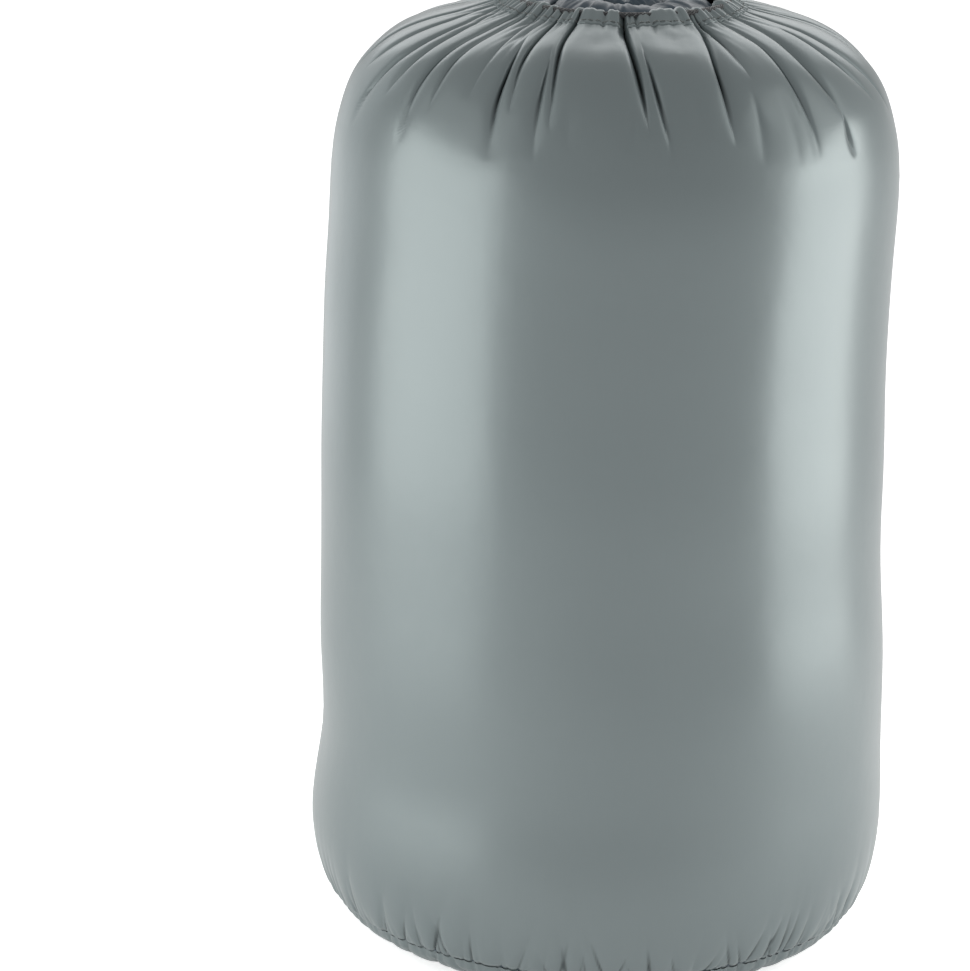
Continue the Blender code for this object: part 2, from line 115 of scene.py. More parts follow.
# ---- Small tools ----
def run_along(points):
    """How far each point is from the first, along the line through them."""
    return np.r_[0, np.cumsum(np.linalg.norm(np.diff(points, axis=0), axis=1))]


def wrapped(angle):
    """The same angle between -pi and pi."""
    return np.mod(angle + math.pi, TURN) - math.pi


def resample(points, step):
    """Points a step apart along a Catmull-Rom curve."""
    p = np.array(points, float)
    ends = np.vstack([2 * p[0] - p[1], p, 2 * p[-1] - p[-2]])
    dense = [p[:1]]
    for a, b, c, d in zip(ends, ends[1:], ends[2:], ends[3:]):
        t = np.linspace(0, 1, 13)[1:, None]
        dense.append(
            0.5 * (2 * b + (c - a) * t + (2 * a - 5 * b + 4 * c - d) * t**2 + (3 * b - a - 3 * c + d) * t**3)
        )
    dense = np.vstack(dense)
    run = run_along(dense)
    at = np.linspace(0, run[-1], max(2, round(run[-1] / step) + 1))
    return np.stack([np.interp(at, run, dense[:, k]) for k in range(p.shape[1])], 1)


def smoothstep(low, high, x):
    """0 below low, 1 above high, and an even rise between. It falls where low is the higher one."""
    t = np.clip((x - low) / (high - low), 0, 1)
    return t * t * (3 - 2 * t)


def lattice_noise(u, v, cells_u, cells_v, seed):
    """Smooth noise from -1 to 1 over u and v in 0..1. It repeats in u."""
    grid = np.random.default_rng(seed).uniform(-1, 1, (cells_v + 4, cells_u))
    x = np.asarray(u) * cells_u
    y = np.clip(np.asarray(v), 0, 1) * cells_v + 1
    i, j = np.floor(x).astype(int), np.floor(y).astype(int)
    fx, fy = x - i, y - j
    fx, fy = fx * fx * (3 - 2 * fx), fy * fy * (3 - 2 * fy)

    def at(a, b):
        return grid[np.clip(b, 0, cells_v + 3), a % cells_u]

    low = at(i, j) * (1 - fx) + at(i + 1, j) * fx
    high = at(i, j + 1) * (1 - fx) + at(i + 1, j + 1) * fx
    return low * (1 - fy) + high * fy


def make_mesh(name, vertices, faces, material, uv=None, fold=None):
    """A smooth object. uv is each vertex's place on the cloth in metres, and fold how far in a fold it is,
    which the cloth's material paints as shade.
    """
    mesh = bpy.data.meshes.new(name)
    mesh.from_pydata([tuple(v) for v in np.asarray(vertices, float)], [], [tuple(map(int, f)) for f in faces])
    if uv is not None:
        layer = mesh.uv_layers.new(name="cloth")
        corners = np.empty(len(mesh.loops), int)
        mesh.loops.foreach_get("vertex_index", corners)
        layer.data.foreach_set("uv", np.asarray(uv, float)[corners].ravel())
    # The fold attribute is the mask of the painted shade in the folds.
    if fold is not None:
        mesh.attributes.new("fold", "FLOAT", "POINT").data.foreach_set("value", np.asarray(fold, float))
    mesh.materials.append(material)
    mesh.shade_smooth()
    mesh.validate()
    piece = bpy.data.objects.new(name, mesh)
    bpy.context.scene.collection.objects.link(piece)
    return piece


def fit(piece, body, slot, *nodes):
    """Puts a piece on a body, in place of these CAD nodes. The slot argument is not used."""
    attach(piece, body)
    if nodes:
        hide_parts(*nodes)
    return piece


def grid_faces(rows, columns):
    """Quads of a rows by columns grid whose last column joins the first."""
    a = np.arange(rows * columns).reshape(rows, columns)
    b = np.roll(a, -1, axis=1)
    return np.stack([a[:-1], b[:-1], b[1:], a[1:]], -1).reshape(-1, 4).tolist()


def bar_faces(rows, columns, flip=False):
    """Faces of a closed section carried along rows, with a cap at both ends. flip turns the quads over."""
    quads = grid_faces(rows, columns)
    if flip:
        quads = [f[::-1] for f in quads]
    return [*quads, list(range(columns)), [(rows - 1) * columns + k for k in reversed(range(columns))]]


def tube(points, radius, sides):
    """(vertices, faces, uv) of a capped tube along the points, with one radius or one for each."""
    points = np.asarray(points, float)
    tangents = np.gradient(points, axis=0)
    tangents /= np.linalg.norm(tangents, axis=1)[:, None]
    side = np.cross(tangents[0], (0.13, 0.21, 0.97))  # any direction that isn't the tube's
    angles = np.arange(sides) * TURN / sides
    rings, uv = [], []
    for p, t, r, run in zip(points, tangents, np.broadcast_to(radius, len(points)), run_along(points)):
        side = side - t * side.dot(t)
        side /= np.linalg.norm(side)
        rings.append(p + r * (np.cos(angles)[:, None] * side + np.sin(angles)[:, None] * np.cross(t, side)))
        uv += [(a * r, run) for a in angles]
    return np.vstack(rings), bar_faces(len(points), sides, flip=True), uv


def joined(parts):
    """One (vertices, faces, uv) from several."""
    vertices, faces, uv, start = [], [], [], 0
    for v, f, t in parts:
        vertices.append(v)
        faces += [[i + start for i in face] for face in f]
        uv += list(t)
        start += len(v)
    return np.vstack(vertices), faces, uv


# ---- Camera and lights ----
CAMERA_PLACE = (0, -1.6, 0.667)
CAMERA_LENS = 146.6
CAMERA_YAW = math.radians(1.815)
CAMERA_PITCH = math.radians(16.672)  # downwards
CAMERA_ROLL = math.radians(1.329)
WORLD_STRENGTH = 0.48
SIDE_DISTANCE = 0.62
# Each side's boxes: azimuth in degrees, width, power of the low and of the high box, and colour.
SIDE_BOXES = {
    "left": (-68, 0.62, 1.9, 0.36, (1.0, 1.0, 0.97)),
    "right": (88, 0.50, 2.0, 0.60, (1.0, 0.99, 0.96)),
}


def build_camera():
    """The camera, with the photograph's place and lens."""
    data = bpy.data.cameras.new("camera")
    data.sensor_fit = "HORIZONTAL"
    data.sensor_width = 36
    data.lens = CAMERA_LENS
    camera = bpy.data.objects.new("camera", data)
    bpy.context.scene.collection.objects.link(camera)
    level = math.cos(CAMERA_PITCH)
    forward = Vector((-math.sin(CAMERA_YAW) * level, math.cos(CAMERA_YAW) * level, -math.sin(CAMERA_PITCH)))
    right = forward.cross(Vector((0, 0, 1))).normalized()
    up = right.cross(forward)
    cos, sin = math.cos(CAMERA_ROLL), math.sin(CAMERA_ROLL)
    axes = (right * cos + up * sin, up * cos - right * sin, -forward)
    camera.matrix_world = Matrix.Translation(CAMERA_PLACE) @ Matrix(axes).transposed().to_4x4()
    bpy.context.scene.camera = camera


def soft_light(name, azimuth, distance, height, size, power, colour=(1, 1, 1), aim=0.2):
    """A softbox at an azimuth from the front, aimed at the sack at a height."""
    data = bpy.data.lights.new(name, "AREA")
    data.shape = "RECTANGLE"
    data.size, data.size_y = size
    data.energy = power
    data.color = colour
    light = bpy.data.objects.new(name, data)
    light.visible_camera = False
    bpy.context.scene.collection.objects.link(light)
    a = math.radians(azimuth)
    place = Vector((distance * math.sin(a), -distance * math.cos(a), height))
    turned = (place - Vector((0, 0, aim))).to_track_quat("Z", "Y").to_matrix().to_4x4()
    light.matrix_world = Matrix.Translation(place) @ turned


def build_stage():
    """A pale floor, a white world, and softboxes at both sides and behind."""
    floor = make_mesh("floor", [(-9, -6, 0), (9, -6, 0), (9, 12, 0), (-9, 12, 0)], [(0, 1, 2, 3)], FLOOR)
    world = bpy.data.worlds.new("studio")
    world.use_nodes = True
    background = world.node_tree.nodes["Background"]
    background.inputs["Color"].default_value = (1, 1, 1, 1)
    background.inputs["Strength"].default_value = WORLD_STRENGTH
    bpy.context.scene.world = world
    for side, (azimuth, width, low, high, colour) in SIDE_BOXES.items():
        soft_light(side + "_low_softbox", azimuth, SIDE_DISTANCE, 0.25, (width, 0.48), low, colour, 0.20)
        soft_light(side + "_high_softbox", azimuth, SIDE_DISTANCE, 0.64, (width, 0.62), high, colour, 0.42)
    soft_light("left_rear_softbox", -135, 0.8, 0.35, (0.5, 0.8), 0.5, (0.94, 0.98, 1.0), 0.28)
    soft_light("back_softbox", 180, 1.9, 1.25, (2.2, 1.2), 9)
    bpy.context.scene.view_settings.view_transform = "Standard"


# ---- Materials ----
def rgba(colour, share=1.0):
    """The colour times a share, opaque."""
    return (*(c * share for c in colour), 1)


class Nodes:
    """A material's node tree, with short ways to add to it."""

    def __init__(self, name, colour, roughness, **sockets):
        self.material = bpy.data.materials.new(name)
        self.material.use_nodes = True
        self.tree = self.material.node_tree
        self.shader = self.tree.nodes["Principled BSDF"]
        self.shader.inputs["Base Color"].default_value = rgba(colour)
        self.shader.inputs["Roughness"].default_value = roughness
        for key, value in sockets.items():
            self.shader.inputs[key.replace("_", " ")].default_value = value
        self.material.diffuse_color = rgba(colour)

    def add(self, kind, inputs=(), **settings):
        node = self.tree.nodes.new("ShaderNode" + kind)
        for key, value in settings.items():
            setattr(node, key, value)
        for key, value in dict(inputs).items():
            self.put(node.inputs[key], value)
        return node

    def put(self, socket, value):
        if isinstance(value, bpy.types.NodeSocket):
            self.tree.links.new(value, socket)
        else:
            socket.default_value = value

    def set(self, socket, value):
        """Sets or links a socket of the shader."""
        self.put(self.shader.inputs[socket], value)

    def math(self, operation, *values):
        node = self.add("Math", operation=operation)
        for socket, value in zip(node.inputs, values):
            self.put(socket, value)
        return node.outputs[0]

    def mix(self, share, a, b):
        node = self.add("Mix", data_type="RGBA")
        self.put(node.inputs[0], share)
        self.put(node.inputs[6], a)
        self.put(node.inputs[7], b)
        return node.outputs[2]

    def place(self, cloth):
        """Coordinates in metres: along the cloth, or the object's own."""
        return self.add("TexCoord").outputs["UV" if cloth else "Object"]

    def noise(self, vector, scale, detail=2.0, **inputs):
        node = self.add("TexNoise", {"Vector": vector, "Scale": scale, "Detail": detail, **inputs})
        return node.outputs["Fac"]

    def ramp(self, value, low, high, out_low=0.0, out_high=1.0):
        node = self.add("MapRange", {"Value": value, "From Min": low, "From Max": high})
        self.put(node.inputs["To Min"], out_low)
        self.put(node.inputs["To Max"], out_high)
        return node.outputs[0]

    def bump(self, height, distance):
        """Adds a bump to those that the shader has."""
        previous = self.shader.inputs["Normal"]
        node = self.add("Bump", {"Height": height, "Distance": distance})
        if previous.is_linked:
            self.tree.links.new(previous.links[0].from_socket, node.inputs["Normal"])
        self.tree.links.new(node.outputs[0], previous)

    def weave(self, yarn, vector):
        """Over-and-under height of a plain weave with that yarn width, from 0 to 1."""
        split = self.add("SeparateXYZ", {"Vector": vector})
        waves = []
        for axis in (0, 1):
            turn = self.math("MULTIPLY", split.outputs[axis], math.pi / yarn)
            waves.append(self.math("SINE", turn))
        over = self.math("MULTIPLY", waves[0], waves[1])
        return self.math("MULTIPLY_ADD", over, 0.5, 0.5)


def nylon(name, light, dark, roughness, **sockets):
    """Satin-faced nylon: fine weave, slow colour drift, faint slubs, and painted shade deep in the closed
    folds, where the colour goes almost black and the specular drops.
    """
    n = Nodes(name, light, roughness, **sockets)
    cloth, world = n.place(True), n.place(False)
    tone = n.mix(n.ramp(n.noise(world, 9.0, 3.0), -0.2, 1.2), rgba(light), rgba(dark))
    stretched = n.add("Mapping", {"Vector": cloth, "Scale": (2600, 90, 1)}).outputs[0]
    slub = n.ramp(n.noise(stretched, 1.0, 2.0), -0.2, 1.2, 0.0, 0.12)
    # Painted shade: the fold attribute masks the shadow inside closed folds, painted as nearly black colour
    # and a cut in specular.
    fold = n.ramp(n.add("Attribute", attribute_name="fold").outputs["Fac"], 0.25, 0.85)
    n.set("Base Color", n.mix(fold, n.mix(slub, tone, rgba(dark, 0.6)), rgba(dark, 0.16)))
    n.set("Specular IOR Level", n.ramp(fold, 0, 1, sockets.get("Specular_IOR_Level", 0.5), 0.05))
    n.set("Roughness", n.ramp(n.noise(world, 30.0, 1.0), -0.5, 1.5, roughness - 0.05, roughness + 0.05))
    n.bump(n.noise(world, 90.0, 2.0), 0.00010)
    n.bump(n.weave(YARN, cloth), WEAVE_DEPTH)
    return n.material


def thread(name, colour):
    """Twisted sewing thread."""
    n = Nodes(name, colour, 0.5, Sheen_Weight=0.3)
    twist = n.add("TexWave", {"Vector": n.place(True), "Scale": 900.0}, bands_direction="DIAGONAL")
    n.set("Base Color", n.mix(twist.outputs["Fac"], rgba(colour), rgba(colour, 0.7)))
    n.bump(twist.outputs["Fac"], 0.00006)
    return n.material


def braid(name, colour, fleck):
    """Woven cord cover: six pairs of crossing yarns, 1.6 mm a repeat, with a fleck woven in."""
    n = Nodes(name, colour, 0.6, Sheen_Weight=0.25)
    split = n.add("SeparateXYZ", {"Vector": n.place(True)})
    around = n.math("MULTIPLY", split.outputs[0], 2 * 6 / CORD)
    along = n.math("MULTIPLY", split.outputs[1], TURN / 0.0016)
    one = n.math("SINE", n.math("ADD", around, along))
    two = n.math("SINE", n.math("SUBTRACT", around, along))
    height = n.math("MAXIMUM", one, two)
    every_fourth = n.math("SINE", n.math("MULTIPLY", along, 0.25))
    speck = n.math("GREATER_THAN", n.math("MULTIPLY", one, every_fourth), 0.7)
    n.set("Base Color", n.mix(speck, rgba(colour), rgba(fleck)))
    n.bump(height, 0.00012)
    return n.material


def moulded(name, colour, roughness=0.42):
    """Moulded plastic: fine spark texture and a few rubbed places."""
    n = Nodes(name, colour, roughness)
    place = n.place(False)
    rub = n.ramp(n.noise(place, 220.0, 4.0), 0.55, 0.75)
    n.set("Base Color", n.mix(rub, rgba(colour), (*(c * 1.7 + 0.006 for c in colour), 1)))
    n.set("Roughness", n.ramp(n.noise(place, 900.0, 2.0), 0.3, 0.7, roughness - 0.08, roughness + 0.1))
    n.bump(n.noise(place, 3800.0, 2.0), 0.00004)
    return n.material


def batting(name):
    """Matt white fibre fill."""
    n = Nodes(name, (0.80, 0.80, 0.77), 0.95, Sheen_Weight=0.4)
    fluff = n.noise(n.place(False), 420.0, 6.0, Distortion=1.2)
    n.set("Base Color", n.mix(fluff, (0.84, 0.84, 0.81, 1), (0.66, 0.67, 0.66, 1)))
    n.bump(fluff, 0.0009)
    return n.material


def steel(name):
    """Bright drawn wire."""
    n = Nodes(name, (0.62, 0.62, 0.63), 0.28, Metallic=1.0)
    n.set("Roughness", n.ramp(n.noise(n.place(False), 1500.0, 3.0), 0.3, 0.7, 0.2, 0.4))
    return n.material


def matte_floor(name):
    """Pale studio paper, a little lighter where the camera sees it."""
    n = Nodes(name, (0.93, 0.93, 0.93), 0.9, Emission_Color=(1, 1, 1, 1))
    tone = n.mix(n.noise(n.place(False), 3.0, 2.0), (0.925, 0.925, 0.925, 1), (0.935, 0.935, 0.935, 1))
    n.set("Base Color", tone)
    seen = n.add("LightPath").outputs["Is Camera Ray"]
    n.set("Emission Strength", n.math("MULTIPLY_ADD", seen, 0.45, 0.22))
    return n.material


FLOOR = matte_floor("floor_paper")
SACK = nylon(
    "sack_nylon", (0.206, 0.245, 0.251), (0.182, 0.221, 0.228), 0.29, Metallic=0.38, Specular_IOR_Level=0.9
)
SEAM = nylon(
    "seam_nylon", (0.190, 0.225, 0.226), (0.165, 0.198, 0.201), 0.36, Metallic=0.30, Specular_IOR_Level=0.9
)
QUILT = nylon("quilt_taffeta", (0.040, 0.070, 0.096), (0.026, 0.048, 0.070), 0.36, Sheen_Weight=0.08)
LINING = nylon("lining_taffeta", (0.17, 0.20, 0.22), (0.13, 0.155, 0.175), 0.5)
BATTING = batting("polyester_batting")
THREAD = thread("polyester_thread", (0.20, 0.22, 0.215))
BRAID = braid("cord_braid", (0.030, 0.032, 0.035), (0.16, 0.17, 0.17))
PLASTIC = moulded("moulded_nylon", (0.022, 0.023, 0.025))
STEEL = steel("spring_wire")


# ---- The sack's outline: from the rim down to the base seam ----
def superellipse(angle, power):
    """(how far out, how far up) on a unit quarter curve, from its foot."""
    return math.sin(angle) ** (2 / power), 1 - math.cos(angle) ** (2 / power)


def foot_point(share):
    """(radius, height) at a share of the foot's curve, from the flat base up to the belly."""
    a, b = superellipse(share * math.pi / 2, FOOT_POWER)
    return FOOT_RADIUS + (BELLY_RADIUS - FOOT_RADIUS) * a, BELLY_HEIGHT * b


# The hem's outer face: along it from the folded edge, and up from its middle.
HEM_PROFILE = [
    (-0.0006, 0.0002),
    (0.0005, 0.0017),
    (0.0028, 0.0022),
    (0.006, 0.0017),
    (HEM_WIDTH * 0.75, 0.0011),
    (HEM_WIDTH, 0.0008),
]
BELOW_HEM = (0.0600, 0.3929)
SHOULDER_CURVE = 0.045  # how far in from the side the shoulder's curve is drawn


def smoothed(line, times):
    """The line with its inner points evened out so many times."""
    line = line.copy()
    for _ in range(times):
        line[1:-1] = (line[:-2] + 2 * line[1:-1] + line[2:]) / 4
    return line


def sack_outline():
    """(distance from the rim, point, normal) of the fabric's outer face, about every half millimetre."""
    shoulder = []
    for k in range(51):
        a, b = superellipse((1 - k / 50) * math.pi / 2, SHOULDER_POWER)
        radius = MOUTH_RADIUS + (SHOULDER_RADIUS - MOUTH_RADIUS) * a
        if radius < SHOULDER_RADIUS - SHOULDER_CURVE:
            break
        shoulder.append((radius, SHOULDER_HEIGHT + (CREST_HEIGHT - SHOULDER_HEIGHT) * (1 - b)))
    side = []
    for k in range(9, 0, -1):
        t = k / 10
        end = BELLY_RADIUS if t < 0.5 else SHOULDER_RADIUS
        radius = WAIST_RADIUS + (end - WAIST_RADIUS) * math.cos(math.pi * t) ** 2
        side.append((radius, BELLY_HEIGHT + (SHOULDER_HEIGHT - BELLY_HEIGHT) * t))
    foot = [foot_point(SEAM_SHARE + (1 - SEAM_SHARE) * k / 20) for k in range(20, -1, -1)]
    hem = [hem_point(*place) for place in HEM_PROFILE]
    line = smoothed(resample([*hem, BELOW_HEM, *shoulder[::-1], *side, *foot], 0.5 * MM), 12)
    along = run_along(line)
    softer = (smoothstep(14 * MM, 24 * MM, along) * smoothstep(84 * MM, 64 * MM, along))[:, None]
    line = line * (1 - softer) + smoothed(line, 500) * softer
    step = np.gradient(line, axis=0)
    step /= np.linalg.norm(step, axis=1)[:, None]
    return run_along(line), line, np.stack([-step[:, 1], step[:, 0]], 1)


DOWN, LINE, NORMAL = sack_outline()
SEAM_AT = DOWN[-1]  # the base seam's distance from the rim


def outline_at(down):
    """(radius, height, normal's radius part, normal's height part) at distances down from the rim."""
    return tuple(np.interp(down, DOWN, table[:, k]) for table in (LINE, NORMAL) for k in (0, 1))


# ---- Gathers ----
# Each crease: its azimuth in degrees at the five DEPTHS_DOWN; where it starts and ends in mm down; its depth
# in mm; and the widths in mm of its left and right flanks.
DEPTHS_DOWN = (10, 30, 50, 70, 90)  # mm from the rim
CREASES = [
    ((-94, -88, -86, -86, -87), 0, 78, 3.6, 0.9, 1.3),
    ((-85, -76, -74, -76, -78), 0, 72, 3.2, 0.7, 1.2),
    ((-77, -66, -63, -66, -69), 0, 94, 4.2, 0.6, 1.1),
    ((-71, -61, -57.5, -58, -59), 0, 77, 4.0, 1.0, 0.8),
    ((-55.5, -52.5, -50.5, -50, -48.5), 0, 94, 4.6, 0.6, 1.1),
    ((-49, -47, -45.5, -43.5, -42), 0, 80, 4.0, 0.6, 1.0),
    ((-42, -38, -35, -34, -33), 0, 71, 2.0, 1.5, 0.6),
    ((-35, -32, -28.5, -27.5, -25.5), 24, 94, 5.4, 1.8, 1.2),
    ((-30.5, -28, -26, -23.5, -22), 0, 75, 4.4, 0.6, 1.0),
    ((-23.5, -21.5, -18, -17.3, -16.3), 34, 92, 3.6, 1.9, 1.1),
    ((-20.5, -19, -16, -14.3, -13.5), 0, 81, 4.6, 0.6, 0.9),
    ((1.8, 3.6, 5, 6.3, 7.4), 0, 82, 7.0, 1.1, 0.9),
    ((6.5, 7.2, 8.2, 9.8, 11.4), 26, 92, 4.4, 0.8, 1.8),
    ((37.5, 30, 25.5, 24.5, 24.5), 0, 86, 6.5, 0.5, 2.0),
    ((40.5, 36.5, 33.5, 33, 33), 0, 58, 3.4, 1.5, 1.0),
    ((50.5, 48.5, 45.5, 44.5, 44.5), 0, 94, 4.4, 0.8, 0.7),
    ((65, 58.5, 54, 54.5, 55.5), 0, 80, 6.0, 0.9, 0.9),
    ((72, 67, 65, 69, 73), 26, 78, 2.8, 1.0, 0.8),
    ((79, 74, 72.5, 77, 81), 0, 86, 4.2, 0.6, 1.0),
    ((88.5, 89, 88.5, 87, 86), 0, 67, 3.4, 0.9, 1.1),
    ((98, 96, 95, 95, 96), 0, 88, 4.0, 0.8, 1.3),
]
# Soft folds between them, in the same order of numbers.
SOFT_FOLDS = [
    ((-38, -34, -31.5, -30, -29), 6, 52, 1.6, 2.2, 1.6),
    ((-10.5, -10.5, -10.5, -10.3, -9.5), 62, 88, 0.9, 1.4, 1.2),
    ((2.5, 2.5, 2.8, 3, 3.4), 66, 88, 1.3, 1.4, 1.2),
    ((32, 32, 32, 31.5, 30.5), 60, 94, 1.3, 1.4, 1.8),
    ((39, 39, 39, 39, 39), 62, 96, 0.9, 1.6, 2.2),
    ((42.5, 42.5, 42.6, 42.8, 42.6), 56, 96, 0.8, 1.0, 1.0),
    ((55, 55, 55, 55, 55.4), 76, 97, 3.2, 0.8, 0.9),
    ((16, 16.5, 17, 17.5, 18), 58, 84, 0.8, 2.4, 2.4),
    ((-5, -5, -5, -5, -5), 12, 46, 0.9, 3.0, 3.0),
    ((18, 18, 18, 18, 18), 8, 40, 0.9, 3.0, 2.4),
]


def back_creases():
    """Seeded creases for the rest of the mouth, which leave the side seam's middle smooth."""
    rng = np.random.default_rng(31)
    found, azimuth = [], 107.0
    while azimuth < 256:
        if abs(azimuth - 180) > 4.5:
            lean = np.cumsum(np.r_[0, rng.uniform(-2.2, 2.2, 4)])
            widths = rng.permutation([rng.uniform(0.6, 0.9), rng.uniform(0.9, 1.8)])
            path = tuple(azimuth + lean if abs(azimuth - 180) > 9 else azimuth + 0.2 * lean)
            found.append((path, 0, rng.uniform(62, 95), rng.uniform(2.8, 5.2), *widths))
        azimuth += rng.uniform(6.5, 12)
    return found


CREASES += back_creases()
CREASES.sort(key=lambda c: (c[0][0] + 360) % 360)


def crease_path(crease, down):
    """The crease's azimuth in radians at a distance down, rounded between its five places."""
    span = np.array([-8, -4, 0, 4, 8])
    places = [np.interp(np.asarray(down) / MM + s, DEPTHS_DOWN, crease[0]) for s in span]
    return np.radians(sum(places) / len(places))


def crease_depth(crease, azimuth, down, radius):
    """(how deep the crease is at each point in metres, how closed it is there from 0 to 1, the mask of its
    painted shade).
    """
    start, end, depth, left, right = crease[1:]  # as CREASES says
    across = wrapped(azimuth - crease_path(crease, down)) * radius
    t = np.clip((down / MM - start) / (end - start), 0, 1)
    reach = smoothstep(0, 0.6 if start else 0.01, t) * (1 - t**2.2)
    opening = 0.55 + 1.0 * smoothstep(0.3, 0.85, t)
    width = np.where(across < 0, left, right) * MM * opening
    rounded = np.sqrt(across**2 + (0.18 * MM) ** 2) - 0.18 * MM
    slot = np.exp(-rounded / width)
    flank = np.exp(-np.abs(across) / (3.0 * width + 2.6 * MM))
    # How closed the crease is: the mask where the cloth's material paints shade.
    closed = np.exp(-((across / (0.65 * width)) ** 2)) * np.clip(depth * reach / 4.2, 0, 1)
    return depth * MM * reach * (0.76 * slot + 0.24 * flank), closed


def places_round(count, rng, stray):
    """Azimuths of things round the sack, each up to a share of the spacing out of its place."""
    return (np.arange(count) + rng.uniform(-stray, stray, count)) * TURN / count


GATHERS = np.random.default_rng(5)
GATHER_COUNT = 92
GATHER_AT = places_round(GATHER_COUNT, GATHERS, 0.32)
GATHER_DEPTH = GATHERS.uniform(0.5, 2.6, GATHER_COUNT) * MM
GATHER_LONG = GATHERS.uniform(3, 15, GATHER_COUNT) * MM


def gather_depth(azimuth, down, radius):
    """The small gathers at the hem, which fade out just below its stitching."""
    total = np.zeros(np.broadcast(azimuth, down).shape)
    if np.min(down) > 70 * MM:
        return total
    for at, depth, reach in zip(GATHER_AT, GATHER_DEPTH, GATHER_LONG):
        across = wrapped(azimuth - at) * radius
        fade = np.exp(-np.maximum(down - 11 * MM, 0) / reach)
        total += depth * fade * np.exp(-np.abs(across) / (0.9 * MM))
    return total


PUCKERS = np.random.default_rng(12)
PUCKER_COUNT = 190
PUCKER_AT = places_round(PUCKER_COUNT, PUCKERS, 0.45)
PUCKER_DEPTH = PUCKERS.uniform(0.25, 1.0, PUCKER_COUNT) ** 1.3 * 2.2 * MM
PUCKER_LONG = PUCKERS.uniform(5, 21, PUCKER_COUNT) * MM
PUCKER_LEAN = PUCKERS.uniform(-0.35, 0.35, PUCKER_COUNT)


def pucker_depth(azimuth, above_seam, radius):
    """(depth, closeness, the mask of their painted shade) of the short puckers beside the base seam."""
    total = np.zeros(np.broadcast(azimuth, above_seam).shape)
    closed = np.zeros(total.shape)
    away = np.abs(above_seam)
    if np.min(away) > 60 * MM:
        return total, closed
    for at, depth, reach, lean in zip(PUCKER_AT, PUCKER_DEPTH, PUCKER_LONG, PUCKER_LEAN):
        across = wrapped(azimuth - at) * radius + lean * above_seam
        fade = np.exp(-((away / reach) ** 1.5))
        width = 0.6 * MM + 0.10 * away
        total += depth * fade * np.exp(-np.abs(across) / width)
        # How closed the pucker is: the mask where the cloth's material paints shade.
        closed = np.maximum(closed, fade * depth / (2.2 * MM) * np.exp(-((across / (0.7 * width)) ** 2)))
    return total, closed


# The filled sack isn't quite round: its lean along X and its change in radius, in mm, at these heights.
SIDE_HEIGHTS = (0.02, 0.04, 0.055, 0.073, 0.092, 0.115, 0.13, 0.168, 0.206, 0.243, 0.281, 0.305, 0.33, 0.36)
SIDE_LEAN = (0, 0, 0.4, 2.0, 2.1, 1.0, 0.5, -1.2, -1.5, -2.1, -1.9, -0.6, -0.2, 0)
SIDE_GIRTH = (0, 0.3, 0.5, -2.4, -2.6, -1.0, -0.6, -1.0, -0.6, -1.3, -1.3, -1.6, -0.8, 0)


def side_adjustment(height):
    """(lean along X, change in radius) at heights, in metres, rounded between their places."""
    span = np.array([-14, -7, 0, 7, 14]) * MM
    return tuple(
        sum(np.interp(np.asarray(height) + s, SIDE_HEIGHTS, table) for s in span) / len(span) * MM
        for table in (SIDE_LEAN, SIDE_GIRTH)
    )


def sack_surface(azimuth, down, lift=0.0):
    """(points of the sack's outer face, raised by lift along its normal; how deep in a fold each is, the mask
    of the painted shade).
    """
    azimuth, down = np.broadcast_arrays(azimuth, down)
    radius, height, out_r, out_z = outline_at(down)
    depth, closed = np.zeros(down.shape), np.zeros(down.shape)
    if np.min(down) < 100 * MM:
        for crease in CREASES + SOFT_FOLDS:
            deeper, nearer = crease_depth(crease, azimuth, down, radius)
            depth, closed = depth + deeper, np.maximum(closed, nearer)
    depth = depth * (0.30 + 0.70 * smoothstep(0, 20 * MM, down))
    turn = np.mod(azimuth / TURN, 1)
    ruffle = lattice_noise(turn, 0, 64, 1, 61)
    depth = np.minimum(depth, DEEPEST_CREASE) + gather_depth(azimuth, down, radius)
    depth = depth + 1.1 * MM * ruffle * np.exp(-((down / (7 * MM)) ** 2))
    above_seam = SEAM_AT - down
    puckered, pinched = pucker_depth(azimuth, above_seam, radius)
    depth, closed = depth + puckered, np.maximum(closed, pinched)
    depth = depth + 1.6 * MM * np.exp(-((above_seam / (2.2 * MM)) ** 2))
    share = down / SEAM_AT
    body = smoothstep(70 * MM, 130 * MM, down) * smoothstep(0, 40 * MM, above_seam)
    waves = 0.8 * MM * lattice_noise(turn, share, 7, 4, 3) + 0.35 * MM * lattice_noise(turn, share, 23, 7, 8)
    shoulder = smoothstep(10 * MM, 40 * MM, down) * (1 - smoothstep(70 * MM, 120 * MM, down))
    puffs = 0.45 * MM * lattice_noise(turn, share, 34, 14, 21)
    puffs = puffs + 1.3 * MM * np.sin(math.pi * np.clip(down / (95 * MM), 0, 1))
    left_shoulder = np.exp(-(((np.mod(azimuth, TURN) - 1.5 * math.pi) / 0.9) ** 2))
    sag = 1.6 * MM * left_shoulder * np.exp(-(((down - 34 * MM) / (18 * MM)) ** 2))
    sway, girth = side_adjustment(height)
    push = lift - depth + waves * body + puffs * shoulder + girth - sag
    r = radius + out_r * push
    return np.stack([r * np.sin(azimuth) + sway, -r * np.cos(azimuth), height + out_z * push], -1), closed


def sack_point(azimuth, down, lift=0.0):
    """The points alone."""
    return sack_surface(azimuth, down, lift)[0]


# ---- Sack body ----
PER_CREASE = 24


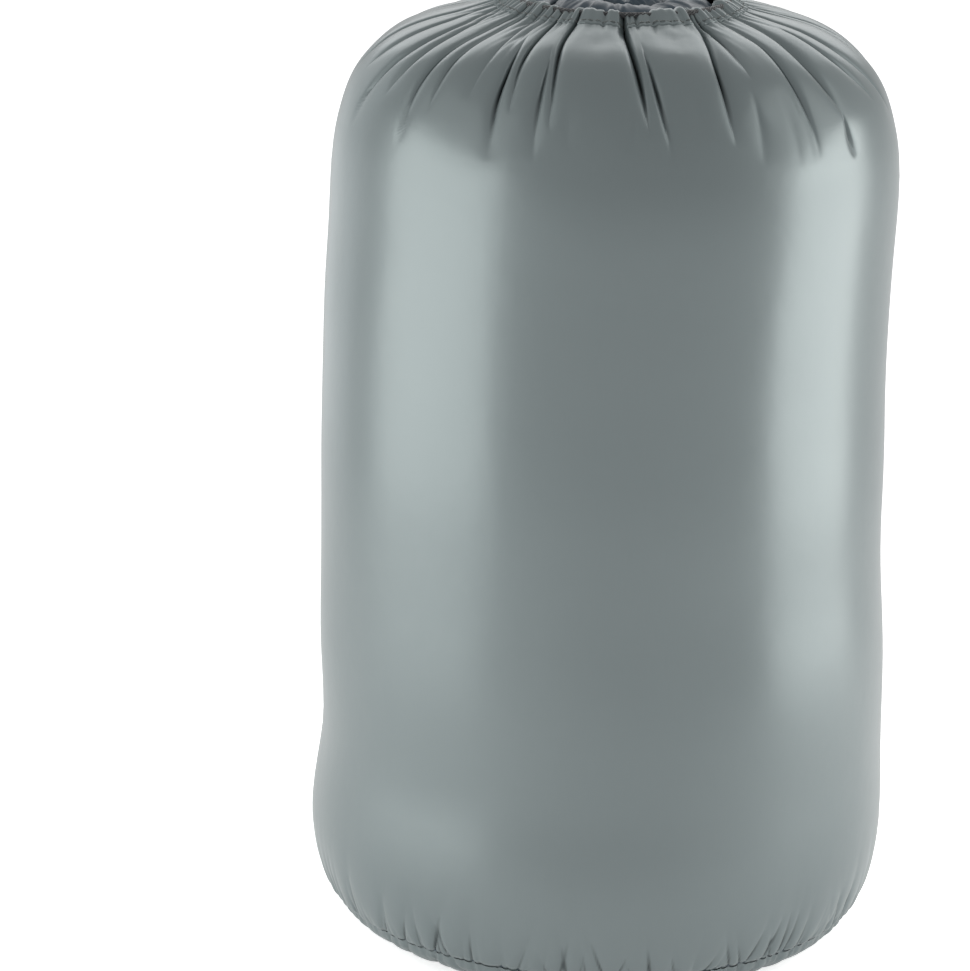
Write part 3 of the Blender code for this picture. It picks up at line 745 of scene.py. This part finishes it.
def body_columns(down):
    """Azimuths of a row's vertices: even between neighbouring creases, and closer beside each crease."""
    centres = [float(crease_path(c, down)) for c in CREASES]
    count = len(centres)
    even = float(smoothstep(76 * MM, 100 * MM, down))
    if even:
        places = [centres[0] + TURN * k / count for k in range(count)]
        centres = [a + even * wrapped(b - a) for a, b in zip(centres, places)]
    t = np.arange(PER_CREASE) / PER_CREASE
    t = t - 0.85 * (1 - even) * np.sin(TURN * t) / TURN
    nexts = centres[1:] + centres[:1]
    return np.concatenate([a + (b - a) % TURN * t for a, b in zip(centres, nexts)])


def row_faces(start, n, below, m):
    """Faces from a row of n vertices down to one of m, where one count is a multiple of the other."""
    if n == m:
        return [(below + k, below + (k + 1) % m, start + (k + 1) % n, start + k) for k in range(n)]
    coarse, fine = (below, start) if n > m else (start, below)
    few, many = min(n, m), max(n, m)
    share = many // few
    faces = []
    for k in range(few):
        left, right = coarse + k, coarse + (k + 1) % few
        edge = [fine + (k * share + i) % many for i in range(share + 1)]
        faces += [(left, edge[i + 1], edge[i]) for i in range(share // 2)]
        faces.append((left, right, edge[share // 2]))
        faces += [(right, edge[i + 1], edge[i]) for i in range(share // 2, share)]
    return faces if n > m else [f[::-1] for f in faces]


def build_sack_body():
    """The body panel: close rows in the creases and at the base seam, wide ones down the side."""
    creased = np.arange(HEM_WIDTH - 1.5 * MM, 104 * MM, 1.35 * MM)
    side = np.arange(108 * MM, SEAM_AT - 36 * MM, 8 * MM)
    foot = np.linspace(SEAM_AT - 33 * MM, SEAM_AT - 24.5 * MM, 4)
    seam = np.linspace(SEAM_AT - 22 * MM, SEAM_AT, 24)
    even = body_columns(creased[-1])
    rows = [(down, body_columns(down)) for down in creased]
    rows += [(down, even[::4]) for down in side]
    rows += [(down, even[::2]) for down in foot]
    rows += [(down, even) for down in seam]
    vertices, uv, folds = [], [], []
    for down, azimuths in rows:
        tuck = -0.5 * MM * float(smoothstep(HEM_WIDTH + 0.5 * MM, HEM_WIDTH - 1.0 * MM, down))
        points, closed = sack_surface(azimuths, np.full(len(azimuths), down), tuck)
        vertices.append(points)
        folds.append(closed)
        uv += [(a * SHOULDER_RADIUS, -down) for a in azimuths]
    counts = [len(azimuths) for _, azimuths in rows]
    starts = np.r_[0, np.cumsum(counts)]
    faces = []
    for start, n, below, m in zip(starts, counts, starts[1:], counts[1:]):
        faces += row_faces(start, n, below, m)
    # The fold values are the mask of the painted shade in the closed creases and puckers.
    body = make_mesh("sack_body_fabric", np.vstack(vertices), faces, SACK, uv, np.concatenate(folds))
    return fit(body, "sack", "sack_fabric", "sack_body")


# ---- Hem channel ----
# How far the hem's inner face is from its outer one, at places down from its folded edge.
HEM_PLACES = np.array([0, 1.5, 5.5, 7.5, 13]) * MM
HEM_THICKNESS = np.array([2.2, 4.0, 3.9, 2.0, 1.6]) * MM


def build_hem():
    """The folded hem round the drawcord, open at the side seam."""
    margin = (EXIT_GAP / 2) / MOUTH_RADIUS
    azimuths = np.sort(np.mod(body_columns(12 * MM), TURN))
    azimuths = azimuths[np.abs(azimuths - math.pi) > margin]
    order = np.concatenate([azimuths[azimuths > math.pi] - TURN, azimuths[azimuths < math.pi]])
    order = np.concatenate([[-math.pi + margin], order, [math.pi - margin]])
    down = np.linspace(HEM_WIDTH + 0.4 * MM, 0, 15)
    lift = np.where(down > HEM_WIDTH - 1.2 * MM, 0.25 * MM, 0.15 * MM)
    outside, closed = sack_surface(order[:, None], down[None, :], lift[None, :])
    _, _, out_r, out_z = outline_at(down)
    thick = np.interp(down, HEM_PLACES, HEM_THICKNESS)
    outwards = np.stack([np.sin(order), -np.cos(order), np.zeros(len(order))], -1)[:, None, :]
    drop = np.stack([0 * thick, 0 * thick, -out_z * thick], -1)[None, :, :]
    inside = outside + outwards * (-out_r * thick)[None, :, None] + drop
    fold_out, fold_in = outside[:, -1:, :], inside[:, -1:, :]
    inwards = -0.9 * MM * outwards
    edge = [
        fold_out * 0.75 + fold_in * 0.25 + inwards * 0.8,
        (fold_out + fold_in) / 2 + inwards,
        fold_out * 0.25 + fold_in * 0.75 + inwards * 0.8,
    ]
    section = np.concatenate([outside, *edge, inside[:, ::-1, :]], 1)
    rows, columns = section.shape[:2]
    uv = [(a * SHOULDER_RADIUS, k * 1.0 * MM) for a in order for k in range(columns)]
    # The outer face takes the creases' painted shade mask; the fold edge and inner face have none.
    fold = np.zeros((rows, columns))
    fold[:, : len(down)] = closed
    faces = bar_faces(rows, columns)
    hem = make_mesh("drawcord_channel_fabric", section.reshape(-1, 3), faces, SACK, uv, fold.ravel())
    return fit(hem, "sack", "sack_fabric", "drawcord_channel")


# ---- Base ----
def base_point(azimuth, out):
    """Points of the base panel's outer face at shares of the way out from its middle along the panel."""
    azimuth, out = np.broadcast_arrays(azimuth, out)
    curve = [(0, 0), (FOOT_RADIUS, 0), *(foot_point(SEAM_SHARE * k / 12) for k in range(1, 13))]
    line = resample(curve, 1 * MM)
    run = run_along(line)
    out = out * run[-1]
    radius, height = np.interp(out, run, line[:, 0]), np.interp(out, run, line[:, 1])
    inside = run[-1] - out
    depth = pucker_depth(azimuth, -inside, radius)[0] * 0.8 + 1.5 * MM * np.exp(-((inside / (2.0 * MM)) ** 2))
    lumps = 0.5 * MM * lattice_noise(np.mod(azimuth / TURN, 1), out / run[-1], 9, 4, 44)
    rise = smoothstep(FOOT_RADIUS, 0.098, radius)
    height = np.maximum(height + (depth * 0.8 - lumps) * rise, 0.0)
    radius = radius - depth * 0.6 * rise
    return np.stack([radius * np.sin(azimuth), -radius * np.cos(azimuth), height], -1)


def build_base():
    """The base panel: a few rings on its flat, and close ones in the puckers of its seam."""
    count = 720
    azimuths = np.arange(count) * TURN / count
    outs = np.concatenate([np.linspace(0.06, 0.66, 8), np.linspace(0.68, 1, 26)])
    rings = [base_point(azimuths, np.full(count, out)) for out in outs]
    vertices = np.vstack([*rings, [[0, 0, 0]]])
    centre = len(vertices) - 1
    faces = grid_faces(len(outs), count) + [((k + 1) % count, k, centre) for k in range(count)]
    uv = [(p[0], p[1]) for p in vertices]
    base = make_mesh("sack_base_fabric", vertices, [f[::-1] for f in faces], SACK, uv)
    return fit(base, "sack", "sack_fabric", "sack_base")


# ---- Seam allowance, side seam and stitches ----
def build_allowance():
    """The rolled allowance inside the base seam, which follows the seam's puckers."""
    count = 420
    azimuths = np.arange(count + 1) * TURN / count
    line = sack_point(azimuths, np.full(count + 1, SEAM_AT - 2.2 * MM), -2.6 * MM)
    vertices, faces, uv = tube(line, 1.0 * MM, 8)
    allowance = make_mesh("base_seam_allowance_roll", vertices, faces, SEAM, uv)
    fit(allowance, "sack", "sack_seam", "base_seam_allowance")


def build_side_seam():
    """The felled seam up the back: a raised band, pinched along its two rows of stitches."""
    downs = np.arange(HEM_WIDTH + 0.6 * MM, SEAM_AT - 1.5 * MM, 1.6 * MM)
    across = np.linspace(-SEAM_TAPE_WIDTH / 2, SEAM_TAPE_WIDTH / 2, 15)
    edge = np.clip(1 - np.abs(across) / (SEAM_TAPE_WIDTH / 2), 0, 1)
    rng = np.random.default_rng(77)
    wobble = 0.25 * MM * np.interp(downs, np.linspace(0, SEAM_AT, 60), rng.uniform(-1, 1, 60))
    pinch = rng.uniform(0.4, 1.0, len(downs))
    rows = []
    for down, shift, pull in zip(downs, wobble, pinch):
        raised = 0.75 * MM * smoothstep(0, 0.12, edge) - 0.10 * MM
        for row in (-1, 1):
            raised = raised - 0.42 * MM * pull * np.exp(-(((across - row * SEAM_ROW) / (0.55 * MM)) ** 2))
        azimuth = math.pi + (across + shift) / outline_at(down)[0]
        here = np.full(len(across), down)
        rows += [sack_point(azimuth, here, raised), sack_point(azimuth[::-1], here, -0.35 * MM)]
    columns = 2 * len(across)
    faces = [f[::-1] for f in bar_faces(len(downs), columns)]
    uv = [(k * 0.55 * MM, -d) for d in downs for k in range(columns)]
    seam = make_mesh("side_seam_band", np.vstack(rows), faces, SEAM, uv)
    return fit(seam, "sack", "sack_seam", "side_seam")


def stitch(start, middle, end, radius=0.24 * MM):
    """One stitch: a short thread that dips at both ends."""
    return tube(resample([start, middle, end], np.linalg.norm(np.subtract(end, start)) / 4), radius, 6)


def build_stitches(name, parts):
    """One piece of many stitches."""
    vertices, faces, uv = joined(parts)
    return fit(make_mesh(name, vertices, faces, THREAD, uv), "sack", "sack_seam")


def build_seam_stitches():
    """Two rows up the side seam."""
    parts = []
    pitch, length = 3.3 * MM, 2.5 * MM
    for row in (-1, 1):
        for down in np.arange(HEM_WIDTH + 4 * MM, SEAM_AT - 5 * MM, pitch):
            at = np.array([down - length / 2, down, down + length / 2])
            azimuth = math.pi + row * SEAM_ROW / outline_at(at)[0]
            parts.append(stitch(*sack_point(azimuth, at, np.array([0.15, 0.48, 0.15]) * MM)))
    return build_stitches("side_seam_stitches", parts)


def build_hem_stitches():
    """The row that closes the channel, drawn in with the gathers, and a bar tack at both of its ends."""
    parts = []
    down = HEM_WIDTH - 1.6 * MM
    pitch = 2.9 * MM / outline_at(down)[0]
    margin = (EXIT_GAP / 2 + 1 * MM) / MOUTH_RADIUS
    for azimuth in np.arange(-math.pi + margin, math.pi - margin, pitch):
        a = azimuth + np.array([0, 0.38, 0.76]) * pitch
        parts.append(stitch(*sack_point(a, np.full(3, down), np.array([0.12, 0.42, 0.12]) * MM), 0.2 * MM))
    for side in (-1, 1):
        zigzag = []
        for k in range(13):
            azimuth = math.pi + side * (EXIT_GAP / 2 + (1.0 + 1.6 * (k % 2)) * MM) / MOUTH_RADIUS
            zigzag.append(sack_point(azimuth, (2.5 + 0.7 * k) * MM, 0.35 * MM))
        parts.append(tube(resample(zigzag, 0.5 * MM), 0.22 * MM, 6))
    return build_stitches("hem_stitches", parts)


# ---- Drawcord, lock and cord end ----
def cad_frame(node, tilt):
    """A place at the middle of a CAD node's box: X along the plunger, Y out over the shoulder, Z off it."""
    low, high = (Vector(c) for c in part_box(node))
    forward = Vector((0, math.cos(tilt), -math.sin(tilt)))
    up = Vector((0, math.sin(tilt), math.cos(tilt)))
    matrix = Matrix((Vector((1, 0, 0)), forward, up)).transposed().to_4x4()
    matrix.translation = (low + high) / 2
    return matrix


BARREL_FRAME = cad_frame("cord_lock_barrel", LOCK_TILT)
PLUNGER_FRAME = cad_frame("cord_lock_plunger", LOCK_TILT)
END_FRAME = cad_frame("cord_end", END_TILT)


def cord_route():
    """The drawcord's centre line, as the CAD part lays it."""
    ring_radius, ring_height = hem_point(CORD_ALONG_HEM, 0)
    aside = Vector((CORD_SPACING / 2, 0, 0))
    reach = LOCK_DEEP / 2 + 0.002
    barrel = BARREL_FRAME.translation.copy()
    barrel.x = 0
    lock_forward = BARREL_FRAME.to_3x3() @ Vector((0, 1, 0))
    end_centre, end_forward = END_FRAME.translation, END_FRAME.to_3x3() @ Vector((0, 1, 0))
    leave = barrel + lock_forward * (reach + LOCK_SLIDE) + aside
    mouth = end_centre - end_forward * (END_LONG / 2 + 0.001) + aside
    bottom = end_centre + end_forward * (END_SOCKET - END_LONG / 2 - GAP * 2) + aside
    handle = (mouth - leave).length * 0.45
    corners = (leave, leave + lock_forward * handle, mouth - end_forward * handle, mouth)
    bend = []
    for k in range(9):
        t = k / 8
        shares = ((1 - t) ** 3, 3 * t * (1 - t) ** 2, 3 * t * t * (1 - t), t**3)
        bend.append(sum((c * w for c, w in zip(corners, shares)), Vector()))
    strand = [
        Vector((0.0075, ring_radius - 0.0004, ring_height + 0.0002)),
        Vector((0.0045, ring_radius + 0.0014, ring_height + 0.0009)),
        Vector((0.0024, ring_radius + 0.0048, ring_height + 0.0021)),
        barrel - lock_forward * reach + aside,
        barrel + aside,
        *bend,
        bottom,
    ]
    first = math.acos(RING_START / ring_radius)
    sweep = math.pi + 2 * first
    steps = round(sweep * ring_radius / CORD_STEP)
    turns = [first - sweep * k / steps for k in range(steps + 1)]
    ring = [Vector((ring_radius * math.cos(a), ring_radius * math.sin(a), ring_height)) for a in turns]
    mirrored = [Vector((-p.x, p.y, p.z)) for p in strand]
    return resample([*reversed(strand), *ring, *mirrored], 1.0 * MM)


def build_cord():
    """(the drawcord, its route, its length)"""
    route = cord_route()
    vertices, faces, uv = tube(route, CORD / 2, 14)
    cord = make_mesh("drawcord_braid", vertices, faces, BRAID, uv)
    return fit(cord, "sack", "cord", "drawcord"), route, float(run_along(route)[-1])


# ---- Quilt ----
# The top of the roll where it shows in the mouth: radii and heights.
MOUTH_RADII = (0, 0.02, 0.034, 0.042, 0.050)
MOUTH_HEIGHTS = (0.4000, 0.3995, 0.3980, 0.3955, 0.3885)
TOP_UNDER_SACK = 0.3845
FOOT_CLEAR = 6.5 * MM  # from the sack's base up to the fold's two edges
LEG_POINTS = 7
BINDING_SIDES = 12


def crest_height(radius):
    """How high the roll reaches at a radius: under the creases, and up to the rim in the mouth."""
    shoulder = LINE[:, 0] > MOUTH_RADIUS + 0.013
    r, z = LINE[shoulder][: round(0.105 / (0.5 * MM))].T
    under = np.interp(radius, r, z - CLEAR_OF_CREASES)
    mouth = np.interp(radius, MOUTH_RADII, MOUTH_HEIGHTS)
    return np.where(np.asarray(radius) < MOUTH_RADII[-1], mouth, np.minimum(under, TOP_UNDER_SACK))


def foot_height(radius):
    """How low the rolled quilt reaches at a radius."""
    r, z = np.array([(0, 0), (FOOT_RADIUS, 0), *(foot_point(k / 20) for k in range(1, 21))]).T
    return np.interp(radius, r, z) + FOOT_CLEAR


def spiral_boundary(turn):
    """The radius between two neighbouring turns, which wanders a little."""
    wander = 1.4 * MM * lattice_noise(turn / 8, 0.5, 70, 1, 91)
    return STRIP * turn + wander * smoothstep(0.4, 1.2, turn) * smoothstep(5.0, 4.4, turn)


def roll_stations(count):
    """(turn, inner radius, outer radius) of places along the rolled strip."""
    turn = np.linspace(EDGE_THICKNESS / STRIP, (ROLL_RADIUS - EDGE_THICKNESS) / STRIP + 1, count)
    inner = np.maximum(spiral_boundary(turn - 1), 0.8 * MM) + 0.3 * MM
    outer = np.minimum(spiral_boundary(turn), ROLL_RADIUS) - 0.3 * MM
    return turn, inner, outer


def arch(turn, inner, outer, inset, steps, legs):
    """Rows of points up one leg, over the puffed top and down the other leg, for every station."""
    half = (outer - inner) / 2 - inset
    middle = (inner + outer) / 2
    foot = foot_height(outer)[:, None]
    s = -np.cos(math.pi * np.linspace(0, 1, steps))
    r = middle[:, None] + half[:, None] * s[None, :]
    rise = np.interp(middle, [0.026, 0.036], [7 * MM, 4 * MM]) * np.minimum(half / (STRIP / 2), 1)
    dome = rise[:, None] * (np.sqrt(np.clip(1 - s**2, 0, 1)) - 1)
    puff = 1.5 * MM * lattice_noise(turn / 8, 0.5, 90, 1, 17)[:, None] * (1 - s**2)
    along, over = turn[:, None] / 8, (s[None, :] + 1) / 2
    wrinkle = 0.9 * MM * lattice_noise(along, over, 520, 3, 23)
    wrinkle = wrinkle + 0.5 * MM * lattice_noise(along, over, 1100, 5, 29)
    z = crest_height(r) + dome + puff + wrinkle * np.clip(1.2 - s**2, 0, 1) - 1.5 * MM - inset[:, None]
    levels = np.linspace(0, 1, legs)[None, :-1]
    up = foot + (z[:, :1] - foot) * levels
    down = foot + (z[:, -1:] - foot) * levels[:, ::-1]
    r = np.hstack([np.repeat(r[:, :1], legs - 1, 1), r, np.repeat(r[:, -1:], legs - 1, 1)])
    z = np.hstack([up, z, down])
    angle = math.pi / 2 + TURN * turn[:, None]
    return np.stack([r * np.cos(angle) + side_adjustment(z)[0], r * np.sin(angle), z], -1)


def roll_layer(name, node, count, outside, inside, steps, material, slot):
    """A closed layer of the folded, rolled strip, between two depths from its faces."""
    turn, inner, outer = roll_stations(count)
    narrow = np.minimum(((outer - inner) / 2 - 0.4 * MM) / (STRIP / 2), 1)
    over = arch(turn, inner, outer, outside * narrow, steps, LEG_POINTS)
    under = arch(turn, inner, outer, inside * narrow, steps, LEG_POINTS)
    section = np.concatenate([over, under[:, ::-1]], 1)
    rows, columns = section.shape[:2]
    uv = [(d, k * 1.4 * MM) for d in run_along(section[:, columns // 4]) for k in range(columns)]
    layer = make_mesh(name, section.reshape(-1, 3), bar_faces(rows, columns), material, uv)
    return fit(layer, "sack", slot, node)


def build_quilt():
    """The shell, the batting and the lining, nested in one fold."""
    return (
        roll_layer("quilt_shell_fabric", "quilt_shell", 900, 0.0, 0.5 * MM, 19, QUILT, "quilt_fabric"),
        roll_layer("quilt_batting", "quilt_insulation", 300, 2.4 * MM, 8.4 * MM, 9, BATTING, "batting"),
        roll_layer("quilt_lining_fabric", "quilt_lining", 240, 9.2 * MM, 9.7 * MM, 9, LINING, "quilt_lining"),
    )


def build_bindings():
    """The quilt's two bound edges, along the foot of the fold."""
    turn, inner, outer = roll_stations(300)
    middle = (inner + outer) / 2
    foot = foot_height(outer) - 4.6 * MM
    angle = math.pi / 2 + TURN * turn
    for name, node, near, far in (
        ("quilt_head_binding_tape", "quilt_head_binding", inner, middle - 0.4 * MM),
        ("quilt_foot_binding_tape", "quilt_foot_binding", middle + 0.4 * MM, outer),
    ):
        rows = []
        for k in range(BINDING_SIDES):
            a = TURN * k / BINDING_SIDES
            r = (near + far) / 2 + (far - near) / 2 * np.sign(math.cos(a)) * abs(math.cos(a)) ** 0.4
            z = foot + 1.7 * MM + 1.6 * MM * math.sin(a)
            rows.append(np.stack([r * np.cos(angle), r * np.sin(angle), z], -1))
        section = np.stack(rows, 1)
        uv = [(d, k * 1.2 * MM) for d in run_along(section[:, 0]) for k in range(BINDING_SIDES)]
        faces = bar_faces(len(turn), BINDING_SIDES)
        tape = make_mesh(name, section.reshape(-1, 3), faces, QUILT, uv)
        fit(tape, "sack", "quilt_fabric", node)


# ---- The lock's small detail and its spring ----
def build_ridges(name, body, place, ends, radius):
    """Rounded ridges between pairs of points of a part's own frame, which move with the body."""
    swell = radius * np.sqrt(np.clip(1 - np.linspace(-0.97, 0.97, 9) ** 6, 0.05, 1))
    parts = []
    for start, end in ends:
        line = [place @ Vector(start).lerp(Vector(end), t) for t in np.linspace(0, 1, 9)]
        parts.append(tube(line, swell, 10))
    vertices, faces, uv = joined(parts)
    fit(make_mesh(name, vertices, faces, PLASTIC, uv), body, "black_plastic")


def build_moulded_detail():
    """Grip ridges on the lock's outer face, the plunger's end and the cord end."""
    y, z = LOCK_DEEP / 2 - 3.4 * MM, LOCK_THICK / 2 - 0.10 * MM
    places = [-LOCK_LONG / 2 + (3.6 + 1.7 * k) * MM for k in range(5)]
    ends = [((x, -y, z), (x, y, z)) for x in places]
    build_ridges("cord_lock_grips", "cord_lock", BARREL_FRAME, ends, 0.38 * MM)
    low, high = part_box("cord_lock_plunger")
    x, z = (high[0] - low[0]) / 2 - 0.06 * MM, 2.1 * MM
    ends = [((x, y, -z), (x, y, z)) for y in (-2.2 * MM, 0, 2.2 * MM)]
    build_ridges("cord_lock_thumb_ridges", "plunger", PLUNGER_FRAME, ends, 0.3 * MM)
    x, z = 2.5 * MM, END_THICK / 2 - 0.08 * MM
    ends = [((-x, y, z), (x, y, z)) for y in (0.6 * MM, 2.5 * MM, 4.4 * MM)]
    build_ridges("cord_end_grips", "sack", END_FRAME, ends, 0.3 * MM)


def build_spring():
    """The coil in the barrel, with closed ends."""
    low, high = (Vector(c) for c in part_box("cord_lock_spring"))
    middle, wire = (low + high) / 2, 0.3 * MM
    frame_here = BARREL_FRAME.copy()
    frame_here.translation = middle
    coil_radius = 2.1 * MM
    half = (high.x - low.x) / 2 - wire
    points = []
    for k in range(SPRING_TURNS * 24 + 1):
        t = k / (SPRING_TURNS * 24)
        run = np.interp(t, [0, 0.16, 0.84, 1], [-half, -half + 0.5 * MM, half - 0.5 * MM, half])
        angle = TURN * SPRING_TURNS * t
        place = Vector((run, coil_radius * math.cos(angle), coil_radius * math.sin(angle)))
        points.append(frame_here @ place)
    vertices, faces, uv = tube(points, wire, 8)
    spring = make_mesh("lock_spring_coil", vertices, faces, STEEL, uv)
    fit(spring, "cord_lock", "spring_steel", "cord_lock_spring")
    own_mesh(spring)


def finish_cad_parts():
    """The moulded parts stay as the CAD has them, in their own material."""
    for name in ("cord_lock_barrel", "cord_lock_plunger", "cord_end"):
        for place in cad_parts[name].material_slots:
            place.link = "OBJECT"
            place.material = PLASTIC


build_camera()
build_stage()
body = build_sack_body()
hem = build_hem()
base = build_base()
build_allowance()
seam = build_side_seam()
seam_stitches = build_seam_stitches()
hem_stitches = build_hem_stitches()
cord, route, cord_length = build_cord()
shell, fill, lining = build_quilt()
build_bindings()
build_moulded_detail()
build_spring()
finish_cad_parts()
